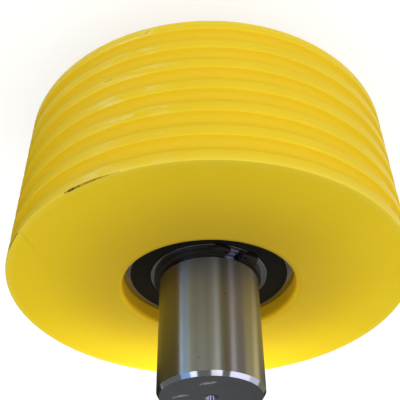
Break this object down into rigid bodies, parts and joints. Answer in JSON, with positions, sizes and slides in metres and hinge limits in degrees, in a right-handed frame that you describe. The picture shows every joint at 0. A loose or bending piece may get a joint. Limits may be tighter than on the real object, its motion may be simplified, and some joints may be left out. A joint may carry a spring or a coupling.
{
  "type": "multi-groove wire rope sheave on a shaft",
  "caption": "Cast nylon wheel with semicircular rope grooves round its rim, turning on sealed ball bearings on a ground steel shaft.",
  "frame": {"origin": "centre of the wheel, on the shaft axis", "axes": "+Z along the shaft, towards the end that the picture shows; the wheel's middle plane is XY"},
  "size_m": [0.32, 0.32, 0.314],
  "materials": {
    "cast_nylon": "turned, satin",
    "ground_shaft_steel": "ground",
    "bearing_steel": "ground and polished",
    "cage_steel": "pressed sheet",
    "turned_steel": "turned",
    "oiled_spring_steel": "black phosphated and oiled",
    "seal_rubber": "matte"
  },
  "bodies": {
    "shaft": {"shaft": "ground_shaft_steel", "distance_sleeve": "turned_steel", "upper_bearing_inner_ring": "bearing_steel", "upper_retaining_ring": "oiled_spring_steel", "lower_bearing_inner_ring": "bearing_steel", "lower_retaining_ring": "oiled_spring_steel"},
    "sheave": {"sheave_wheel": "cast_nylon", "upper_bearing_outer_ring": "bearing_steel", "upper_bearing_outside_seal": "seal_rubber", "upper_bearing_inside_seal": "seal_rubber", "lower_bearing_outer_ring": "bearing_steel", "lower_bearing_outside_seal": "seal_rubber", "lower_bearing_inside_seal": "seal_rubber"},
    "upper_ball_set": {"upper_bearing_balls": "bearing_steel", "upper_bearing_cage_outside_half": "cage_steel", "upper_bearing_cage_inside_half": "cage_steel", "upper_bearing_cage_rivets": "cage_steel"},
    "lower_ball_set": {"lower_bearing_balls": "bearing_steel", "lower_bearing_cage_outside_half": "cage_steel", "lower_bearing_cage_inside_half": "cage_steel", "lower_bearing_cage_rivets": "cage_steel"}
  },
  "joints": [
    {"name": "sheave_spin", "type": "hinge", "parent": "shaft", "child": "sheave", "pos_m": [0, 0, 0], "axis": [0, 0, 1], "continuous": true},
    {"name": "upper_ball_set_spin", "type": "hinge", "parent": "shaft", "child": "upper_ball_set", "pos_m": [0, 0, 0.0425], "axis": [0, 0, 1], "continuous": true},
    {"name": "lower_ball_set_spin", "type": "hinge", "parent": "shaft", "child": "lower_ball_set", "pos_m": [0, 0, -0.0425], "axis": [0, 0, 1], "continuous": true}
  ],
  "couplings": [
    {"joint": "upper_ball_set_spin", "follows": "sheave_spin", "ratio": 0.58659},
    {"joint": "lower_ball_set_spin", "follows": "sheave_spin", "ratio": 0.58659}
  ]
}
